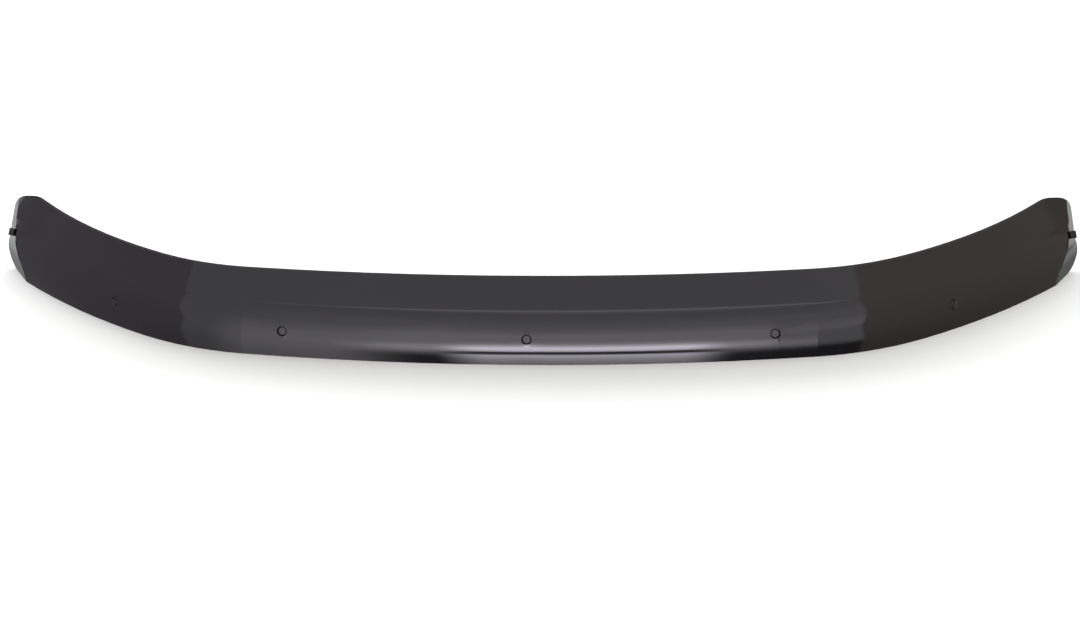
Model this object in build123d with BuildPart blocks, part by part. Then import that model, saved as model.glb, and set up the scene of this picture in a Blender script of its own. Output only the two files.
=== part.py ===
"""Hood bug deflector: a dark smoke acrylic shield with end clips and bump pads.

Frame: X runs along the shield, -Y is the front, Z is up. The origin is under the
middle of the whole part and the lower edge of the shield stands on z = 0.
Depths named _y are measured back from the front point of the lower edge.
"""
import math
import os

from build123d import *

os.makedirs("parts", exist_ok=True)

# Half the overall depth, from the front point to the origin
frame_setback = 137.57

# Sheet and plan line of the lower edge, one half
sheet_thickness = 3.0
centre_radius = 2800.0
centre_half_angle = 7.3
knee_radius = 386.0
knee_angle = 20.8
wing_radius = 841.0
wing_angle = 27.0

# Section of the shield, the same along its length
section_radius = 82.0
shoulder_angle = 48.0
lip_angle = 42.0
shield_height = 92.7
top_dip = 3.6
top_dip_front_y = 50.0
crease_radius = 30.0
form_depth = 110.0
form_overrun = 10.0

# Turned end face that wraps the corner of the hood
wrap_azimuth = 57.0
bend_distance = 717.5
wrap_foot_height = 21.0
wrap_section_radius = 59.0
wrap_lean = 36.6
bend_radius = 9.0
cutter_reach = 1000.0

# Rear outline of each end, seen from the side: reach behind the foot of the bend and drop
# below the top, or for the waist below the tip
foot_reach = 49.8
tip_reach = 88.3
top_reach = 68.8
waist_drop = 33.0
tip_drop = 13.2
top_drop = 1.5
foot_corner_radius = 22.0
waist_radius = 16.0
tip_radius = 9.0
top_corner_radius = 30.0

# Pad seats, round dimples pressed in from the front
pad_distances = {"centre": 0.0, "inner": 304.5, "outer": 543.4}
pad_angle = 23.2
dimple_mouth_radius = 6.4
dimple_floor_radius = 4.6
dimple_depth = 2.4
seat_wall = 2.0
seat_foot_spread = 1.0

# Bump pads and their adhesive discs
bumper_radius = 6.35
bumper_height = 5.0
bumper_chamfer = 1.2
adhesive_radius = 5.9
adhesive_thickness = 0.6

# End clips
clip_tilt = 20.0
clip_width = 9.6
clip_thickness = 1.2
clip_bend_radius = 1.6
clip_reach = 19.5
clip_inner_reach = 18.0
clip_edge_gap = 1.8
clip_flare = 0.8
hood_slot = 4.6
liner_thickness = 0.8
liner_margin = 0.3
screw_distance = 12.0
screw_radius = 2.4
screw_length = 10.6
screw_tip = 1.2
thread_gap = 0.1
hole_gap = 0.3
screw_head_radius = 4.25
screw_head_height = 2.8
screw_socket_radius = 1.5
screw_socket_depth = 1.6
nut_radius = 4.6
nut_height = 4.0
nut_gap = 0.05
shoe_radius = 4.6
shoe_thickness = 2.2
shoe_gap = 0.4
shoe_chamfer = 0.4


def inner_shoulder(inset):
    """Angle at which the arc meets the lip when both move in by the inset."""
    kick = math.radians(shoulder_angle - lip_angle)
    ratio = (section_radius * math.cos(kick) - inset) / (section_radius - inset)
    return lip_angle + math.degrees(math.acos(ratio))


def section_outline(inset, overrun):
    """Closed outline behind the front face, moved in by the inset."""
    radius = section_radius - inset
    shoulder = math.radians(inner_shoulder(inset))
    middle = shoulder / 2
    top_z = shield_height + overrun
    back = form_depth + overrun
    arc_middle = (section_radius - radius * math.cos(middle), radius * math.sin(middle))
    arc_top = (section_radius - radius * math.cos(shoulder), radius * math.sin(shoulder))
    lip_top = (arc_top[0] + (top_z - arc_top[1]) * math.tan(math.radians(lip_angle)), top_z)
    with BuildSketch() as outline:
        with BuildLine():
            ThreePointArc((inset, 0), arc_middle, arc_top)
            Polyline(arc_top, lip_top, (back, top_z), (back, -overrun), (inset, -overrun), (inset, 0))
        make_face()
        crease = outline.vertices().sort_by_distance(arc_top)[0]
        fillet(crease, radius=crease_radius + inset)
    return outline.sketch


def foot_path():
    """Plan line of the lower edge: centre arc, knees and wings."""
    with BuildLine() as path:
        first_angle = 270 - centre_half_angle
        centre_y = centre_radius - frame_setback
        centre = CenterArc((0, centre_y), centre_radius, first_angle, 2 * centre_half_angle)
        knee = JernArc(centre @ 1, centre % 1, knee_radius, knee_angle)
        wing = JernArc(knee @ 1, knee % 1, wing_radius, wing_angle)
        mirror([knee, wing], about=Plane.YZ)
    return path.wire()


def wrap_cutter(inset):
    """Outline of everything outside the right end face, moved in by the inset."""
    radius = wrap_section_radius - inset
    lean = math.radians(wrap_lean)
    face_n = wrap_offset - inset
    centre_n = face_n - radius
    arc_foot = (face_n, wrap_foot_height)
    half = lean / 2
    arc_middle = (centre_n + radius * math.cos(half), wrap_foot_height + radius * math.sin(half))
    arc_top = (centre_n + radius * math.cos(lean), wrap_foot_height + radius * math.sin(lean))
    rise = shield_height + 2 * form_overrun - arc_top[1]
    lean_top = (arc_top[0] - rise * math.tan(lean), arc_top[1] + rise)
    far = wrap_offset + form_depth
    bottom = -3 * form_overrun
    across = Vector(math.sin(wrap_turn), -math.cos(wrap_turn), 0)
    with BuildSketch(Plane(origin=front_point, x_dir=across, z_dir=across.cross(Vector(0, 0, 1)))) as outline:
        with BuildLine():
            Line((face_n, bottom), arc_foot)
            ThreePointArc(arc_foot, arc_middle, arc_top)
            Polyline(arc_top, lean_top, (far, lean_top[1]), (far, bottom), (face_n, bottom))
        make_face()
    return outline.sketch


def front_bend_edges(form):
    """Edges where the end faces meet the curved front of a form."""
    curved = form.edges().filter_by(GeomType.BSPLINE) + form.edges().filter_by(GeomType.HYPERBOLA)
    upright = form.edges().filter_by(Axis.Z).filter_by(lambda edge: edge.length < 2.5 * form_overrun)
    upright = upright.sort_by(Axis.X)
    return curved + [upright[0], upright[-1]]


def side_outline():
    """Side view of the finished shield, seen along its length."""
    corners = {
        (rear_foot_y, 0): foot_corner_radius,
        (rear_foot_y, rear_waist_z): waist_radius,
        (rear_tip_y, rear_tip_z): tip_radius,
        (rear_top_y, rear_top_z): top_corner_radius,
    }
    dip_middle = ((rear_top_y + top_dip_front_y) / 2, shield_height - top_dip)
    dip_front = (top_dip_front_y, shield_height)
    with BuildSketch(Plane(origin=front_point, x_dir=(0, 1, 0), z_dir=(1, 0, 0))) as outline:
        with BuildLine():
            Polyline((-form_overrun, 0), *corners)
            ThreePointArc((rear_top_y, rear_top_z), dip_middle, dip_front)
            Polyline(dip_front, (-form_overrun, shield_height), (-form_overrun, 0))
        make_face()
        for corner, radius in corners.items():
            vertex = outline.vertices().sort_by_distance((*corner, 0))[0]
            fillet(vertex, radius=radius)
    return outline.sketch


def shield_plane(distance, angle):
    """Plane on the front face at a distance along the path and an arc angle."""
    along = path.length / 2 + distance
    foot = path.position_at(along, position_mode=PositionMode.LENGTH)
    run = path.tangent_at(along, position_mode=PositionMode.LENGTH)
    inward = Vector(0, 0, 1).cross(run)
    lean = math.radians(angle)
    outward = Vector(0, 0, math.sin(lean)) - inward * math.cos(lean)
    centre = foot + inward * section_radius
    return Plane(origin=centre + outward * section_radius, x_dir=run, z_dir=outward)


front_point = Vector(0, -frame_setback, 0)
path = foot_path()
bend_foot = path.position_at(path.length / 2 + bend_distance, position_mode=PositionMode.LENGTH)
wrap_turn = math.radians(wrap_azimuth)
wrap_offset = (bend_foot - front_point).dot(Vector(math.sin(wrap_turn), -math.cos(wrap_turn), 0))
bend_foot_y = bend_foot.Y + frame_setback
rear_foot_y = bend_foot_y + foot_reach
rear_tip_y = bend_foot_y + tip_reach
rear_top_y = bend_foot_y + top_reach
rear_tip_z = shield_height - tip_drop
rear_waist_z = rear_tip_z - waist_drop
rear_top_z = shield_height - top_drop
start = Plane(origin=path @ 0, x_dir=Vector(0, 0, 1).cross(path % 0), z_dir=path % 0)
seat_depth = dimple_depth + sheet_thickness

pad_planes = {"bumper_centre": shield_plane(pad_distances["centre"], pad_angle)}
for place in ("inner", "outer"):
    pad_planes["bumper_" + place + "_left"] = shield_plane(-pad_distances[place], pad_angle)
    pad_planes["bumper_" + place + "_right"] = shield_plane(pad_distances[place], pad_angle)

# Front form, a solid bounded by the outer face of the sheet
with BuildPart() as outer_form:
    with BuildSketch(start):
        add(section_outline(0, form_overrun))
    sweep(path=path)
    cutter = extrude(wrap_cutter(0), amount=cutter_reach, both=True, mode=Mode.PRIVATE)
    add([cutter, mirror(cutter, about=Plane.YZ, mode=Mode.PRIVATE)], mode=Mode.SUBTRACT)
    fillet(front_bend_edges(outer_form.part), radius=bend_radius)

# Rear form, bounded by the inner face of the sheet
with BuildPart() as inner_form:
    with BuildSketch(start):
        add(section_outline(sheet_thickness, 2 * form_overrun))
    sweep(path=path)
    cutter = extrude(wrap_cutter(sheet_thickness), amount=cutter_reach, both=True, mode=Mode.PRIVATE)
    add([cutter, mirror(cutter, about=Plane.YZ, mode=Mode.PRIVATE)], mode=Mode.SUBTRACT)
    fillet(front_bend_edges(inner_form.part), radius=bend_radius - sheet_thickness)

# Shield sheet with its pad seats
with BuildPart() as deflector_shield:
    add(outer_form.part)
    add(inner_form.part, mode=Mode.SUBTRACT)
    add(extrude(side_outline(), amount=cutter_reach, both=True, mode=Mode.PRIVATE), mode=Mode.INTERSECT)
    with Locations(*[plane.offset(-seat_depth) for plane in pad_planes.values()]):
        Cone(
            dimple_floor_radius + seat_wall,
            dimple_mouth_radius + seat_wall + seat_foot_spread,
            seat_depth - sheet_thickness / 2,
            align=(Align.CENTER, Align.CENTER, Align.MIN),
        )
    with Locations(*[plane.offset(-dimple_depth) for plane in pad_planes.values()]):
        Cone(
            dimple_floor_radius,
            2 * dimple_mouth_radius - dimple_floor_radius,
            2 * dimple_depth,
            align=(Align.CENTER, Align.CENTER, Align.MIN),
            mode=Mode.SUBTRACT,
        )
deflector_shield.part.label = "deflector_shield"
export_step(deflector_shield.part, "parts/deflector_shield.step")

# Bump pads on adhesive discs, one for each seat
for name, plane in pad_planes.items():
    with BuildPart() as adhesive:
        with BuildSketch(plane.offset(-seat_depth)):
            Circle(adhesive_radius)
        extrude(amount=-adhesive_thickness)
    adhesive.part.label = name.replace("bumper", "adhesive")
    export_step(adhesive.part, "parts/" + adhesive.part.label + ".step")
    with BuildPart() as bumper:
        with BuildSketch(plane.offset(-seat_depth - adhesive_thickness)):
            Circle(bumper_radius)
        extrude(amount=-bumper_height)
        rim = bumper.edges().sort_by(Axis(plane.origin, plane.z_dir))[0]
        chamfer(rim, length=bumper_chamfer)
    bumper.part.label = name
    export_step(bumper.part, "parts/" + name + ".step")


def end_face_depth(height):
    """Distance of the end face from the front point at a height, and its lean."""
    full_lean = math.radians(wrap_lean)
    arc_top = wrap_foot_height + wrap_section_radius * math.sin(full_lean)
    lean = full_lean
    if height < arc_top:
        lean = math.asin((height - wrap_foot_height) / wrap_section_radius)
    depth = wrap_offset - wrap_section_radius * (1 - math.cos(lean))
    return depth - max(height - arc_top, 0) * math.tan(full_lean), lean


def clip_frame(side):
    """Origin on the rear edge at its waist, the clip's run and its outward normal."""
    across = Vector(side * math.sin(wrap_turn), -math.cos(wrap_turn), 0)
    run = Vector(side * math.cos(wrap_turn), math.sin(wrap_turn), 0)
    edge_turn = math.atan2(rear_tip_y - rear_foot_y, rear_tip_z - rear_waist_z)
    notch = waist_radius * (1 / math.cos(edge_turn / 2) - 1)
    edge_y = rear_foot_y + notch * math.cos(edge_turn / 2)
    edge_z = rear_waist_z - notch * math.sin(edge_turn / 2)
    edge_run = (edge_y + math.cos(wrap_turn) * end_face_depth(edge_z)[0]) / math.sin(wrap_turn)
    tilt = math.radians(clip_tilt)
    middle_z = edge_z + clip_reach / 2 * math.sin(tilt)
    middle_run = edge_run - clip_reach / 2 * math.cos(tilt)
    depth, lean = end_face_depth(middle_z)
    middle = front_point + across * depth + run * middle_run + Vector(0, 0, middle_z)
    outward = across * math.cos(lean) + Vector(0, 0, math.sin(lean))
    upward = Vector(0, 0, math.cos(lean)) - across * math.sin(lean)
    clip_run = run * math.cos(tilt) - upward * math.sin(tilt)
    return middle + clip_run * (clip_reach / 2), clip_run, outward


# Depths below the outer face, measured along the clip screw
shoe_front = sheet_thickness + hood_slot
inner_leg_face = shoe_front + shoe_thickness + shoe_gap
inner_leg_back = inner_leg_face + clip_thickness
screw_point = shoe_front + shoe_thickness - screw_tip

for side, name in ((-1, "left"), (1, "right")):
    origin, run, outward = clip_frame(side)
    profile_plane = Plane(origin=origin, x_dir=run, z_dir=run.cross(outward))
    screw_plane = Plane(origin=origin - run * screw_distance, x_dir=run, z_dir=-outward)
    outer_v = liner_thickness + clip_thickness / 2
    inner_v = -inner_leg_face - clip_thickness / 2
    web_u = clip_edge_gap + clip_thickness / 2

    with BuildPart() as end_clip:
        with BuildSketch(profile_plane):
            with BuildLine():
                FilletPolyline(
                    (-clip_reach - clip_flare, outer_v + clip_flare),
                    (-clip_reach + clip_flare, outer_v),
                    (web_u, outer_v),
                    (web_u, inner_v),
                    (-clip_inner_reach, inner_v),
                    radius=clip_bend_radius,
                )
                offset(amount=clip_thickness / 2)
            make_face()
        extrude(amount=clip_width / 2, both=True)
        with BuildSketch(screw_plane.offset(inner_leg_face - clip_thickness)):
            Circle(screw_radius + hole_gap)
        extrude(amount=3 * clip_thickness, mode=Mode.SUBTRACT)
    end_clip.part.label = "end_clip_" + name
    export_step(end_clip.part, "parts/" + end_clip.part.label + ".step")

    with BuildPart() as clip_liner:
        with BuildSketch(profile_plane):
            with Locations((-clip_reach / 2, liner_thickness / 2)):
                Rectangle(clip_reach - 2 * clip_flare, liner_thickness)
        extrude(amount=clip_width / 2 - liner_margin, both=True)
    clip_liner.part.label = "clip_liner_" + name
    export_step(clip_liner.part, "parts/" + clip_liner.part.label + ".step")

    with BuildPart() as clip_nut:
        with BuildSketch(screw_plane.offset(inner_leg_back + nut_gap)):
            RegularPolygon(nut_radius, 6)
            Circle(screw_radius + thread_gap, mode=Mode.SUBTRACT)
        extrude(amount=nut_height)
    clip_nut.part.label = "clip_nut_" + name
    export_step(clip_nut.part, "parts/" + clip_nut.part.label + ".step")

    with BuildPart() as clip_screw:
        with BuildSketch(screw_plane.offset(screw_point)):
            Circle(screw_radius)
        extrude(amount=screw_length)
        with BuildSketch(screw_plane.offset(screw_point + screw_length)):
            Circle(screw_head_radius)
        extrude(amount=screw_head_height)
        with BuildSketch(screw_plane.offset(screw_point + screw_length + screw_head_height)):
            RegularPolygon(screw_socket_radius, 6)
        extrude(amount=-screw_socket_depth, mode=Mode.SUBTRACT)
    clip_screw.part.label = "clip_screw_" + name
    export_step(clip_screw.part, "parts/" + clip_screw.part.label + ".step")

    with BuildPart() as clip_shoe:
        with BuildSketch(screw_plane.offset(shoe_front)):
            Circle(shoe_radius)
        extrude(amount=shoe_thickness)
        rim = clip_shoe.edges().sort_by(Axis(screw_plane.origin, screw_plane.z_dir))[0]
        chamfer(rim, length=shoe_chamfer)
        with BuildSketch(screw_plane.offset(screw_point)):
            Circle(screw_radius + thread_gap)
        extrude(amount=2 * screw_tip, mode=Mode.SUBTRACT)
    clip_shoe.part.label = "clip_shoe_" + name
    export_step(clip_shoe.part, "parts/" + clip_shoe.part.label + ".step")
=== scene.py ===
# %% [markdown]
# # A hood bug deflector in dark smoke acrylic
#
# The real part is one sheet of cast acrylic, warmed in an oven and draped over a form
# that follows the front edge of a hood. All that the eye sees of it is its gloss, so
# most of this lesson is about reflections: what a black, polished surface shows is the
# room around it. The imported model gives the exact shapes, in metres, with X along the
# shield, -Y to the front and Z up.

import math

import bmesh
import bpy
from mathutils import Matrix, Vector


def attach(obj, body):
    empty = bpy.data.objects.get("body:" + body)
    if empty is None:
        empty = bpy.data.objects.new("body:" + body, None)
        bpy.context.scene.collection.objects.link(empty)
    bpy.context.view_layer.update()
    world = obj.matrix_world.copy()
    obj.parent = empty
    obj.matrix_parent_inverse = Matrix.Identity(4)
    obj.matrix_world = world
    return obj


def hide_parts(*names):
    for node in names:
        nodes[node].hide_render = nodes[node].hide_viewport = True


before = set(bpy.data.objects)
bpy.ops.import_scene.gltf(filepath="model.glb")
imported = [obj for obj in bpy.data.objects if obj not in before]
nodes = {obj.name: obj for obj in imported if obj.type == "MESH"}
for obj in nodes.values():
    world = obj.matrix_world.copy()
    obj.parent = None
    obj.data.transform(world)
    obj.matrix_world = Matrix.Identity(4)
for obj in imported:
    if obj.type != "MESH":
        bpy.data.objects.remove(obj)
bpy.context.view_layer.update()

# %% [markdown]
# ## Camera
#
# A photograph is matched in two steps: the place of the camera, and the focal length
# that gives the part its width in the picture. Both were worked out from the outline of
# the part. The picture looks down at about 31 degrees from three metres, slightly right
# of the middle, and the horizon leans by between one and two degrees.

# %% Place the camera
CAMERA_PLACE = Vector((0.1739, -2.5423, 1.5656))
CAMERA_AIM = Vector((0.0115, -0.0390, 0.0088))
CAMERA_LEAN = math.radians(-1.696)
LENS_MM = 78.2
SENSOR_MM = 36
WORLD_UP = Vector((0, 0, 1))


def place_camera(place, aim, lean):
    """Adds a camera that looks from one point at another, leaning sideways."""
    forward = (aim - place).normalized()
    right = forward.cross(WORLD_UP).normalized()
    up = right.cross(forward)
    across = right * math.cos(lean) + up * math.sin(lean)
    top = up * math.cos(lean) - right * math.sin(lean)
    data = bpy.data.cameras.new("studio_camera")
    data.sensor_width = SENSOR_MM
    data.lens = LENS_MM
    camera = bpy.data.objects.new("studio_camera", data)
    bpy.context.scene.collection.objects.link(camera)
    turn = Matrix((across, top, -forward)).transposed().to_4x4()
    camera.matrix_world = Matrix.Translation(place) @ turn
    return camera


bpy.context.scene.camera = place_camera(CAMERA_PLACE, CAMERA_AIM, CAMERA_LEAN)
print("camera:", round((CAMERA_AIM - CAMERA_PLACE).length, 3), "m from its aim")

# %% [markdown]
# ## Colours and nodes
#
# A colour picked from a screen is an sRGB value, but a renderer adds up light in linear
# values, so one function turns each hex colour to linear. The sRGB curve has a short
# straight part and then a power of 2.4. A second small function adds a node with its
# settings and links, which keeps every material a short list.

# %% Helpers for nodes


def linear(hex_colour):
    """Linear RGBA of an sRGB hex colour."""
    rgb = [int(hex_colour[i:i + 2], 16) / 255 for i in (1, 3, 5)]
    return [c / 12.92 if c <= 0.04045 else ((c + 0.055) / 1.055) ** 2.4 for c in rgb] + [1.0]


def add_node(tree, kind, settings=None, **links):
    """Adds a node; settings are attributes or input values, links are output sockets.

    A link is named after its input, with _ for a space, or i and the input's number.
    """
    node = tree.nodes.new(kind)
    for key, value in (settings or {}).items():
        if isinstance(key, int) or key in node.inputs:
            node.inputs[key].default_value = value
        else:
            setattr(node, key, value)
    for key, socket in links.items():
        place = int(key[1:]) if key[1:].isdigit() else key.replace("_", " ")
        tree.links.new(socket, node.inputs[place])
    return node


print("screen grey #808080 is", round(linear("#808080")[0], 3), "in linear light")

# %% [markdown]
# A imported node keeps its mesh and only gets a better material, put on all its slots.

# %% Helpers for materials


def new_material(name):
    """An empty node material, with its output node."""
    material = bpy.data.materials.new(name)
    material.use_nodes = True
    material.node_tree.nodes.clear()
    output = material.node_tree.nodes.new("ShaderNodeOutputMaterial")
    return material, material.node_tree, output


def dress(material, names):
    """Puts a material on every slot of the named nodes."""
    for name in names:
        piece = nodes[name]
        if not piece.material_slots:
            piece.data.materials.append(material)
        for slot in piece.material_slots:
            slot.material = material
    print(material.name, "on", len(names), "nodes")


print("the shield has", len(nodes["deflector_shield"].data.polygons), "faces to dress")

# %% [markdown]
# The patterns on the surfaces all start from soft random blotches, a Noise Texture on
# Object coordinates, which stay with the piece however it moves. The blotches then lead
# a colour, a roughness or a relief. The Mix node keeps its sockets for numbers, vectors
# and colours side by side, so its colour sockets are reached by their numbers.

# %% Helpers for patterns
COLOUR_A, COLOUR_B, COLOUR_OUT = 6, 7, 2


def blotches(tree, place, scale, **settings):
    """Soft random blotches, about as many to the metre as the scale says."""
    made = add_node(tree, "ShaderNodeTexNoise", {"Scale": scale, **settings}, Vector=place)
    return made.outputs["Fac"]


def spread(tree, value, from_low, from_high, to_low, to_high):
    """Maps one range of values onto another and stops at its ends."""
    made = add_node(tree, "ShaderNodeMapRange", {"From Min": from_low, "From Max": from_high,
                                                 "To Min": to_low, "To Max": to_high}, Value=value)
    return made.outputs["Result"]


def between(tree, low, high, factor):
    """A colour between two hex tones."""
    made = add_node(tree, "ShaderNodeMix", {"data_type": "RGBA", COLOUR_A: linear(low),
                                            COLOUR_B: linear(high)}, i0=factor)
    return made.outputs[COLOUR_OUT]


def relief(tree, height, depth_mm, strength):
    """A relief from blotches, which use less than half of its full depth."""
    made = add_node(tree, "ShaderNodeBump", {"Strength": strength, "Distance": depth_mm / 1000},
                    Height=height)
    return made.outputs["Normal"]


print("colours mix on sockets", COLOUR_A, "and", COLOUR_B)

# %% [markdown]
# ## Dark smoke acrylic
#
# Cast acrylic (PMMA) has a refractive index of 1.49. The real sheet is clear and deeply
# dyed, and could be made so, but at this thickness the smoke dye stops nearly all light,
# so it is simpler to make it opaque and almost black under its gloss. The gloss comes
# from the polished plates that the sheet was cast between: it is very smooth. Two
# things keep it from looking like a perfect mirror. Draping leaves a slow waviness, a
# few hundredths of a millimetre over about 90 mm, and handling leaves dust and fine
# wipe marks that soften the gloss in patches.

# %% Smoke acrylic
SMOKE, DUSTY_SMOKE = "#09080a", "#1c1b1c"
ACRYLIC_IOR = 1.49
WAVE_LENGTH_MM = 90
WAVE_DEPTH_MM = 0.12
WAVE_STRENGTH = 0.5
DUST_SPECK_MM = 2.5
DUST_FROM, DUST_FULL = 0.68, 0.80
WIPES_PER_METRE = 9.0
WIPES_FROM, WIPES_FULL = 0.35, 0.75
CLEAN_GLOSS, WIPED_GLOSS = 0.035, 0.075


def smoke_acrylic():
    """Polished dark smoke sheet with form waviness and a little dust."""
    material, tree, output = new_material("smoke_cast_acrylic")
    place = add_node(tree, "ShaderNodeTexCoord").outputs["Object"]
    waves = blotches(tree, place, 1000 / WAVE_LENGTH_MM, Detail=1.0)
    dust = blotches(tree, place, 1000 / DUST_SPECK_MM, Detail=2.0)
    specks = spread(tree, dust, DUST_FROM, DUST_FULL, 0.0, 1.0)
    wipes = blotches(tree, place, WIPES_PER_METRE, Detail=3.0, Distortion=1.2)
    gloss = spread(tree, wipes, WIPES_FROM, WIPES_FULL, CLEAN_GLOSS, WIPED_GLOSS)
    shader = add_node(tree, "ShaderNodeBsdfPrincipled", {"IOR": ACRYLIC_IOR},
                      Base_Color=between(tree, SMOKE, DUSTY_SMOKE, specks), Roughness=gloss,
                      Normal=relief(tree, waves, WAVE_DEPTH_MM, WAVE_STRENGTH))
    tree.links.new(shader.outputs[0], output.inputs["Surface"])
    return material


dress(smoke_acrylic(), ["deflector_shield"])

# %% [markdown]
# ## Rubber, foam, steel and nylon
#
# The small parts each have their own finish. EPDM rubber is a soft dark grey with no
# clear highlight. The double-sided foam tape is pale and cellular. The clips are spring
# steel under black powder coat, whose fine orange peel breaks up the highlight. The
# screw and nut are zinc plated, and the shoe is moulded nylon. One function makes them
# all: two close tones, a roughness that varies a little, and a fine grain. The real
# grains are finer than a millimetre, and they are drawn somewhat coarser than they are,
# so that a near view still shows them.

# %% A grained finish
GRAIN_DETAIL = 3.0
GRAIN_STRENGTH = 0.6
ROUGHNESS_SPREAD = 0.06


def grained(name, low, high, grain_mm, depth_mm, roughness, metallic=0.0, specular=0.5):
    """A moulded or coated finish: two close tones and a fine grain."""
    material, tree, output = new_material(name)
    place = add_node(tree, "ShaderNodeTexCoord").outputs["Object"]
    grain = blotches(tree, place, 1000 / grain_mm, Detail=GRAIN_DETAIL)
    rough = spread(tree, grain, 0.0, 1.0, roughness - ROUGHNESS_SPREAD,
                   roughness + ROUGHNESS_SPREAD)
    shader = add_node(tree, "ShaderNodeBsdfPrincipled",
                      {"Metallic": metallic, "Specular IOR Level": specular},
                      Base_Color=between(tree, low, high, grain), Roughness=rough,
                      Normal=relief(tree, grain, depth_mm, GRAIN_STRENGTH))
    tree.links.new(shader.outputs[0], output.inputs["Surface"])
    print(name, "with a grain of", grain_mm, "mm")
    return material


# %% Pads and their foam discs
PADS = ("centre", "inner_left", "inner_right", "outer_left", "outer_right")

dress(grained("moulded_epdm_rubber", "#1b1b1c", "#232324", grain_mm=0.8, depth_mm=0.06,
              roughness=0.72), ["bumper_" + pad for pad in PADS])
dress(grained("acrylic_foam_tape", "#b9b8b2", "#cfcec8", grain_mm=0.5, depth_mm=0.08,
              roughness=0.85), ["adhesive_" + pad for pad in PADS])

# %% Metal and nylon of the clips
SIDES = ("left", "right")

dress(grained("zinc_plated_steel", "#b4b6b8", "#cdd0d2", grain_mm=1.5, depth_mm=0.01,
              roughness=0.30, metallic=1.0),
      [stem + side for stem in ("clip_nut_", "clip_screw_") for side in SIDES])
dress(grained("moulded_nylon", "#202021", "#2a2a2b", grain_mm=0.7, depth_mm=0.03,
              roughness=0.55), ["clip_shoe_" + side for side in SIDES])
clip_coat = grained("black_powder_coat", "#050505", "#0a0a0a", grain_mm=0.9, depth_mm=0.03,
                    roughness=0.62, specular=0.05)
liner_rubber = grained("rubber_liner_sheet", "#0c0c0c", "#131313", grain_mm=0.6, depth_mm=0.05,
                       roughness=0.80, specular=0.2)

# %% [markdown]
# ## End clips
#
# Each clip is one strip of spring steel, folded twice round the rear edge of an end
# face. It could be cut out of a block, but a strip is easier to follow: a plane is the
# outer leg, its edges are extruded into a small flare, the web and the inner leg, the
# folds are bevelled round, and a Solidify modifier gives the sheet its thickness. The
# strip is made in clip space, with X along the run and Z outwards, and is then moved to
# its place on the part: the middle of the rear edge of the end face, the run off that
# edge, and the way out of the outer side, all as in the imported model.

# %% Where the clips sit
MM = 0.001
CLIP_EDGE = Vector((694.075, 106.918, 46.231)) * MM
CLIP_RUN = Vector((0.64871, 0.69918, -0.30054))
CLIP_OUT = Vector((0.73697, -0.47859, 0.47731))


def clip_place(side):
    """Turns clip space (run, across, out) into the frame of the part."""
    hand = 1 if side == "right" else -1
    run, out, edge = (Vector((hand * v.x, v.y, v.z)) for v in (CLIP_RUN, CLIP_OUT, CLIP_EDGE))
    return Matrix.Translation(edge) @ Matrix((run, out.cross(run), out)).transposed().to_4x4()


print("clip edge at", [round(v, 4) for v in clip_place("left").translation])

# %% Start a strip, pick edges, extrude
HAIR = 0.01 * MM


def add_strip(name, start, end, level, width):
    """A flat strip along the run, left open in edit mode."""
    bpy.ops.object.select_all(action="DESELECT")
    bpy.ops.mesh.primitive_plane_add(size=1, location=(0, 0, 0))
    strip = bpy.context.active_object
    strip.name = name
    bpy.ops.object.mode_set(mode="EDIT")
    bpy.ops.mesh.select_all(action="SELECT")
    bpy.ops.transform.resize(value=(end - start, width, 1))
    bpy.ops.transform.translate(value=((start + end) / 2, 0, level))
    return strip


def select_edges(piece, wanted):
    """In edit mode, selects only the edges whose middle passes a test."""
    bpy.ops.mesh.select_mode(type="EDGE")
    bpy.ops.mesh.select_all(action="DESELECT")
    form = bmesh.from_edit_mesh(piece.data)
    for edge in form.edges:
        if wanted((edge.verts[0].co + edge.verts[1].co) / 2):
            edge.select_set(True)
    bmesh.update_edit_mesh(piece.data)


def extrude_by(run, out):
    """Extrudes the selected edges along the run and outwards."""
    bpy.ops.mesh.extrude_region_move(TRANSFORM_OT_translate={"value": (run, 0, out)})


print("edges are picked to within", HAIR / MM, "mm")

# %% Thicken, round and place a strip
EDGE_SEGMENTS = 3
ROUNDED_FROM = math.radians(50)
SMOOTH_UP_TO = math.radians(35)


def apply_modifier(piece, kind, **settings):
    """Adds a modifier with its settings and applies it."""
    modifier = piece.modifiers.new(kind.lower(), kind)
    for key, value in settings.items():
        setattr(modifier, key, value)
    bpy.ops.object.modifier_apply(modifier=modifier.name)


def finish_strip(strip, side, thickness, edge_round, material, node):
    """Thickens a strip, rounds its edges and puts it in its place."""
    bpy.ops.object.mode_set(mode="OBJECT")
    apply_modifier(strip, "SOLIDIFY", thickness=thickness, offset=0)
    apply_modifier(strip, "BEVEL", width=edge_round, segments=EDGE_SEGMENTS,
                   limit_method="ANGLE", angle_limit=ROUNDED_FROM)
    strip.matrix_world = clip_place(side)
    bpy.ops.object.transform_apply(location=True, rotation=True, scale=True)
    bpy.ops.object.mode_set(mode="EDIT")
    bpy.ops.mesh.select_all(action="SELECT")
    bpy.ops.mesh.normals_make_consistent(inside=False)
    bpy.ops.object.mode_set(mode="OBJECT")
    bpy.ops.object.shade_smooth_by_angle(angle=SMOOTH_UP_TO)
    strip.data.materials.append(material)
    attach(strip, "root")
    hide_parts(node)
    print(strip.name, "for", node, "with", len(strip.data.polygons), "faces")


# %% [markdown]
# Along the run, 0 is the rear edge of the end face. The web stands just past it, and
# the legs run back over the face from there. The outer leg is the short one: it ends
# where the end face turns into the wing, and flares a little so that it slips on easily.

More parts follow.
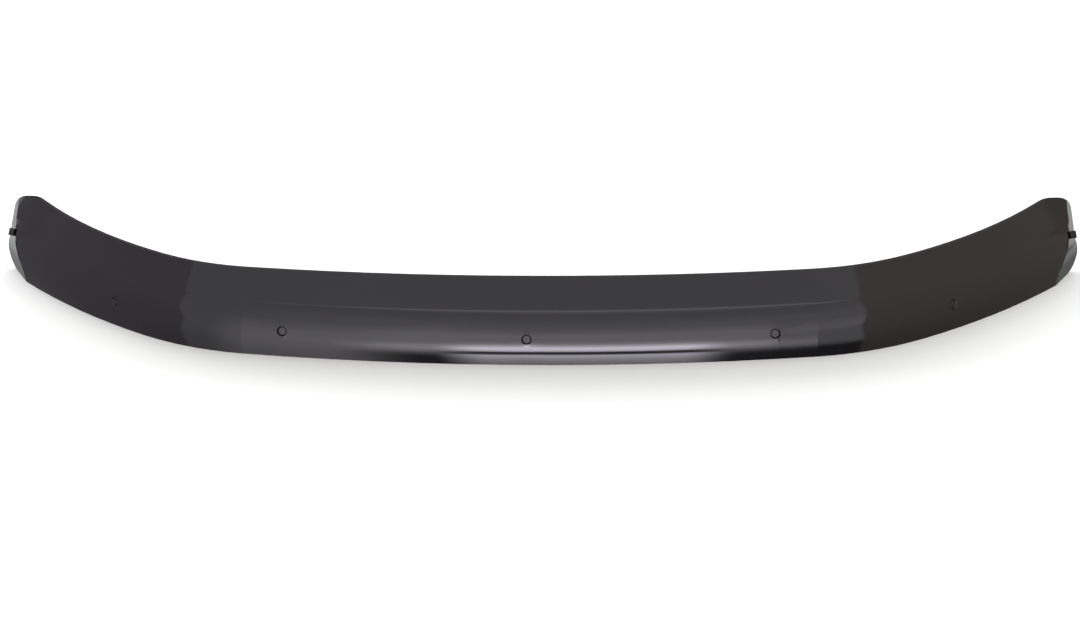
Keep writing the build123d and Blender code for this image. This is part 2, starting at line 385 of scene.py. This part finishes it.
# %% Fold the clips
CLIP_STEEL = 1.2 * MM
CLIP_WIDTH = 9.6 * MM
CLIP_ROUND = 0.25 * MM
WEB = 2.4 * MM
OUTER_LEG, OUTER_END = 1.4 * MM, -12.6 * MM
INNER_LEG, INNER_END = -10.8 * MM, -17.6 * MM
FLARE_RUN, FLARE_OUT = -1.0 * MM, 0.5 * MM
FOLD_RADIUS = 1.6 * MM
FOLD_SEGMENTS = 8


def at_fold(middle):
    """True at the two edges where the web meets the legs."""
    return middle.x > WEB - HAIR and not INNER_LEG + HAIR < middle.z < OUTER_LEG - HAIR


for side in SIDES:
    clip = add_strip("folded_clip_" + side, OUTER_END, WEB, OUTER_LEG, CLIP_WIDTH)
    select_edges(clip, lambda middle: middle.x < OUTER_END + HAIR)
    extrude_by(FLARE_RUN, FLARE_OUT)
    select_edges(clip, lambda middle: middle.x > WEB - HAIR)
    extrude_by(0, INNER_LEG - OUTER_LEG)
    extrude_by(INNER_END - WEB, 0)
    select_edges(clip, at_fold)
    bpy.ops.mesh.bevel(offset=FOLD_RADIUS, segments=FOLD_SEGMENTS, affect="EDGES")
    finish_strip(clip, side, CLIP_STEEL, CLIP_ROUND, clip_coat, "end_clip_" + side)

# %% [markdown]
# A rubber liner lies under the outer leg, so that steel doesn't rub on acrylic. It is
# cut from sheet, a little narrower than the clip, and stops short of the rear edge. A
# flat strip is enough for it.

# %% Lay the liners
LINER_SHEET = 0.8 * MM
LINER_END = -0.8 * MM
LINER_WIDTH = CLIP_WIDTH - 0.6 * MM
LINER_ROUND = 0.2 * MM

for side in SIDES:
    liner = add_strip("rubber_liner_" + side, OUTER_END, LINER_END, LINER_SHEET / 2, LINER_WIDTH)
    bpy.ops.mesh.subdivide(number_cuts=2)
    finish_strip(liner, side, LINER_SHEET, LINER_ROUND, liner_rubber,
                 "clip_liner_" + side)

# %% [markdown]
# ## Floor and backdrop
#
# A plain white sweep: the floor takes the soft shadow, and a pale dome closes the view
# where a low camera looks past the floor. Neither is part of the object. Both are kept
# out of the reflections, which the room below takes care of.

# %% Floor
FLOOR_SIZE = 14
PAPER = "#d6d9d7"

paper, paper_tree, paper_output = new_material("white_paper")
matt = add_node(paper_tree, "ShaderNodeBsdfDiffuse", {"Color": linear(PAPER)})
paper_tree.links.new(matt.outputs[0], paper_output.inputs["Surface"])

bpy.ops.object.select_all(action="DESELECT")
bpy.ops.mesh.primitive_plane_add(size=FLOOR_SIZE, location=(0, 0, 0))
floor = bpy.context.active_object
floor.name = "studio_floor"
floor.data.materials.append(paper)
floor.visible_glossy = False
print("floor", FLOOR_SIZE, "m wide")

# %% Backdrop
DOME_RADIUS = 9
DOME_SEGMENTS, DOME_RINGS = 48, 24
BACKDROP = "#fbfbfb"

backdrop, backdrop_tree, backdrop_output = new_material("pale_backdrop")
pale = add_node(backdrop_tree, "ShaderNodeEmission", {"Color": linear(BACKDROP), "Strength": 1.0})
backdrop_tree.links.new(pale.outputs[0], backdrop_output.inputs["Surface"])

bpy.ops.object.select_all(action="DESELECT")
bpy.ops.mesh.primitive_uv_sphere_add(segments=DOME_SEGMENTS, ring_count=DOME_RINGS,
                                     radius=DOME_RADIUS)
dome = bpy.context.active_object
dome.name = "studio_backdrop"
dome.data.materials.append(backdrop)
for ray in ("diffuse", "glossy", "transmission", "volume_scatter", "shadow"):
    setattr(dome, "visible_" + ray, False)
print("backdrop", DOME_RADIUS, "m away, seen by the camera alone")

# %% [markdown]
# ## The room that the gloss shows
#
# What a polished black surface shows depends on the direction that each patch reflects.
# The camera looks down at 31 degrees, so a patch whose face is turned up by n degrees
# shows what stands at 2n - 31 degrees: the lip shows the ceiling, the round middle shows
# the wall ahead down to its foot, and the lowest edge shows the floor. Lamps and cards
# could be set up for all this, but the world can be drawn as a simple room by direction,
# and then each wall can be changed alone. First each direction gets its bearing, which is
# 0 straight ahead of the part and grows to the right, and its elevation.

# %% Directions in the room
LEAN_FROM = math.radians(15)

world = bpy.data.worlds.new("studio_room")
bpy.context.scene.world = world
world.use_nodes = True
room = world.node_tree
room.nodes.clear()


def reckon(operation, *values):
    """One sum on the room's directions; each value is a number or a socket."""
    numbers = {i: v for i, v in enumerate(values) if isinstance(v, float)}
    sockets = {"i%d" % i: v for i, v in enumerate(values) if not isinstance(v, float)}
    made = add_node(room, "ShaderNodeMath", {"operation": operation, **numbers}, **sockets)
    return made.outputs[0]


direction = add_node(room, "ShaderNodeTexCoord").outputs["Generated"]
parts = add_node(room, "ShaderNodeSeparateXYZ", Vector=direction).outputs
bearing = reckon("ARCTAN2", parts["X"], reckon("MULTIPLY", parts["Y"], -1.0))
elevation = reckon("ARCSINE", parts["Z"])
below = reckon("MINIMUM", elevation, 0.0)
above = reckon("MAXIMUM", reckon("SUBTRACT", elevation, LEAN_FROM), 0.0)
rise = spread(room, parts["Z"], -1.0, 1.0, 0.0, 1.0)
print("nodes for directions:", len(room.nodes))

# %% [markdown]
# Each wall is a colour ramp from straight down to straight up. Its steps are pairs of
# an elevation in degrees and a light, where 1 is plain white. The wall ahead carries a
# long light strip in two parts with a dark gap between them, and the floor is lit under
# it. The strip is the brightest thing in the room, and its light is slightly cooler
# than the rest. The wall ahead and the corners beside it run up into one ceiling.

# %% The wall ahead
BRIGHTEST = 14.0
COOL_FROM = 5
COOL_SHARE = 0.91
CEILING = [(42, 1.42), (50, 1.2), (53, 1.12), (54.5, 1.35), (57, 2.0), (60, 2.3), (90, 2.2)]


def wall(name, steps):
    """Light of one wall from straight down to straight up, as (elevation, light) steps."""
    ramp = add_node(room, "ShaderNodeValToRGB", {"label": name}, Fac=rise)
    points = ramp.color_ramp.elements
    while len(points) > 1:
        points.remove(points[-1])
    for index, (degrees, light) in enumerate(steps):
        spot = (math.sin(math.radians(degrees)) + 1) / 2
        point = points[0] if index == 0 else points.new(spot)
        point.position = spot
        level = light / BRIGHTEST
        warmth = level * (COOL_SHARE if light > COOL_FROM else 1.0)
        point.color = [warmth, warmth, level, 1.0]
    print("wall:", name, "with", len(points), "steps")
    return ramp.outputs["Color"]


ahead_wall = wall("ahead", [
    (-90, 0.9), (-34, 1.0), (-28, 2.0), (-22, 4.2), (-17, 8.0), (-14.2, 7.5), (-12.8, 0.4),
    (-9.2, 0.4), (-7.8, 7.5), (-5, 13.0), (-2, 14.0), (1, 9.0), (5, 4.0), (9, 2.8), (13, 2.6),
    (22, 2.6), (27, 2.1), (32, 1.68)] + CEILING)

# %% [markdown]
# Beside the strip the light falls off in steps. The wings of the shield turn away from
# it, and show first the corners of the room, then its dim side walls.

# %% Corners and sides
beside = wall("beside the light strip", [
    (-90, 0.1), (-20, 0.2), (-16, 0.5), (-12, 1.6), (-8, 3.2), (-3, 4.6), (1, 4.0), (6, 2.7),
    (23, 2.5), (28, 2.1), (34, 1.7)] + CEILING)
right_corner = wall("right corner", [
    (-90, 0.12), (-14, 0.15), (-9, 1.0), (-4, 1.4), (12, 1.4), (20, 1.9), (26, 1.7),
    (34, 1.4)] + CEILING)
left_corner = wall("left corner", [
    (-90, 0.8), (-27, 1.6), (-12, 2.1), (5, 2.3), (15, 2.2), (28, 1.7), (34, 1.4)] + CEILING)
left_end = wall("left end", [
    (-90, 0.6), (-12, 0.9), (5, 1.1), (20, 1.15), (30, 1.15), (50, 1.1), (54, 1.1), (58, 1.5),
    (90, 1.6)])
left_side = wall("left side wall", [
    (-90, 0.42), (-25, 0.48), (-5, 0.6), (10, 0.66), (40, 0.76), (60, 0.95), (90, 1.1)])
right_side = wall("right side wall", [
    (-90, 0.4), (-25, 0.48), (-5, 0.66), (10, 0.78), (40, 0.9), (60, 1.0), (90, 1.1)])

# %% [markdown]
# The turned end faces look past the side walls, to the back of the room: a dark niche on
# each side, which draws a thin dark line along the bend, a bright rear wall that the
# faces pick up, and a dark opening straight behind, for what is turned further still.

# %% The back of the room
niche = wall("dark niches", [
    (-90, 0.1), (0, 0.12), (8, 0.3), (16, 0.6), (40, 0.72), (60, 0.9), (90, 1.1)])
rear = wall("rear walls", [
    (-90, 0.35), (-31, 0.42), (-27, 0.85), (-20, 1.8), (-10, 2.8), (4, 3.3), (10, 4.0),
    (20, 4.2), (40, 2.4), (60, 1.2), (90, 1.1)])
behind = wall("straight behind", [
    (-90, 0.05), (8, 0.06), (17, 0.2), (23, 0.5), (40, 0.6), (60, 0.9), (90, 1.1)])

# %% [markdown]
# Each wall fades into the next over a band of bearings, given by its first and last
# degree. A band can lean with the elevation, and then the edge between two walls is
# slanted: that draws the slanting boundary between the bright middle of the shield and
# its dark wings. The light on the right side wall is warmer than on the left one, and
# the rear walls are faintly green.

# %% Helpers to join the walls


def bearing_to(hand, lean, rising):
    """Bearing to the right (1) or left (-1), for an edge that leans as it rises."""
    return reckon("MULTIPLY_ADD", bearing, hand, reckon("MULTIPLY", rising, lean))


def next_wall(near, far, turn, band):
    """Goes from one wall to the next over a band of bearings."""
    start, end = band
    step = add_node(room, "ShaderNodeMapRange", {"interpolation_type": "SMOOTHSTEP",
                                                 "From Min": math.radians(start),
                                                 "From Max": math.radians(end)}, Value=turn)
    mixed = add_node(room, "ShaderNodeMix", {"data_type": "RGBA"}, i0=step.outputs["Result"],
                     i6=near, i7=far)
    return mixed.outputs[COLOUR_OUT]


def tinted(walls, hex_colour):
    """The same walls in light of another colour."""
    mixed = add_node(room, "ShaderNodeMix", {"data_type": "RGBA", "blend_type": "MULTIPLY",
                                             "Factor": 1.0, COLOUR_B: linear(hex_colour)}, i6=walls)
    return mixed.outputs[COLOUR_OUT]


print("an edge leans above", round(math.degrees(LEAN_FROM)), "degrees, or below the horizon")

# %% Join the walls
NICHE_BAND, REAR_BAND, BEHIND_BAND = (97, 100), (105, 106.5), (134, 142)
REAR_LEAN = 0.5
REAR_TINT, ROOM_TINT = "#f6fff8", "#fffbff"


def half_room(walls, hand, front, side_wall, side_band, side_lean, side_tint):
    """Adds one half of the room, from the light strip round to straight behind."""
    upright = bearing_to(hand, 0.0, elevation)
    leaning = bearing_to(hand, side_lean, above)
    shelving = bearing_to(hand, REAR_LEAN, below)
    for front_wall, band in front:
        walls = next_wall(walls, front_wall, upright, band)
    walls = next_wall(walls, tinted(side_wall, side_tint), leaning, side_band)
    walls = next_wall(walls, tinted(niche, side_tint), shelving, NICHE_BAND)
    walls = next_wall(walls, tinted(rear, REAR_TINT), shelving, REAR_BAND)
    return next_wall(walls, behind, upright, BEHIND_BAND)


right_half = half_room(ahead_wall, 1.0, [(beside, (7.5, 11.5)), (right_corner, (11, 20))],
                       right_side, (33, 35), side_lean=-0.32, side_tint="#fff6ea")
whole = half_room(right_half, -1.0, [(beside, (6.5, 10.5)), (left_corner, (11, 19)),
                                     (left_end, (17, 40))],
                  left_side, (46.5, 48), side_lean=-0.45, side_tint="#fffcff")
glow = add_node(room, "ShaderNodeBackground", {"Strength": BRIGHTEST},
                Color=tinted(whole, ROOM_TINT))
outlet = add_node(room, "ShaderNodeOutputWorld")
room.links.new(glow.outputs[0], outlet.inputs["Surface"])
print("room nodes:", len(room.nodes))

# %% [markdown]
# ## Soft light for the floor
#
# The room alone would leave the paper grey. A wide softbox hangs behind and above the
# part, so the shadow falls forwards and fades over about seven centimetres. It is hidden
# from reflections, so that it adds nothing to the gloss. The Standard view transform
# then shows the colours as they were picked.

# %% Softbox behind
SOFTBOX_PLACE = Vector((-0.35, 2.4, 1.5))
SOFTBOX_SIZE = (5.0, 1.6)
SOFTBOX_POWER = 150

softbox = bpy.data.lights.new("rear_softbox", "AREA")
softbox.shape = "RECTANGLE"
softbox.size, softbox.size_y = SOFTBOX_SIZE
softbox.energy = SOFTBOX_POWER
lamp = bpy.data.objects.new("rear_softbox", softbox)
bpy.context.scene.collection.objects.link(lamp)
towards_part = (-SOFTBOX_PLACE).to_track_quat("-Z", "Y").to_matrix().to_4x4()
lamp.matrix_world = Matrix.Translation(SOFTBOX_PLACE) @ towards_part
lamp.visible_glossy = False
lamp.visible_camera = False
bpy.context.scene.view_settings.view_transform = "Standard"
print("softbox", SOFTBOX_SIZE, "m at", round(SOFTBOX_PLACE.length, 2), "m")
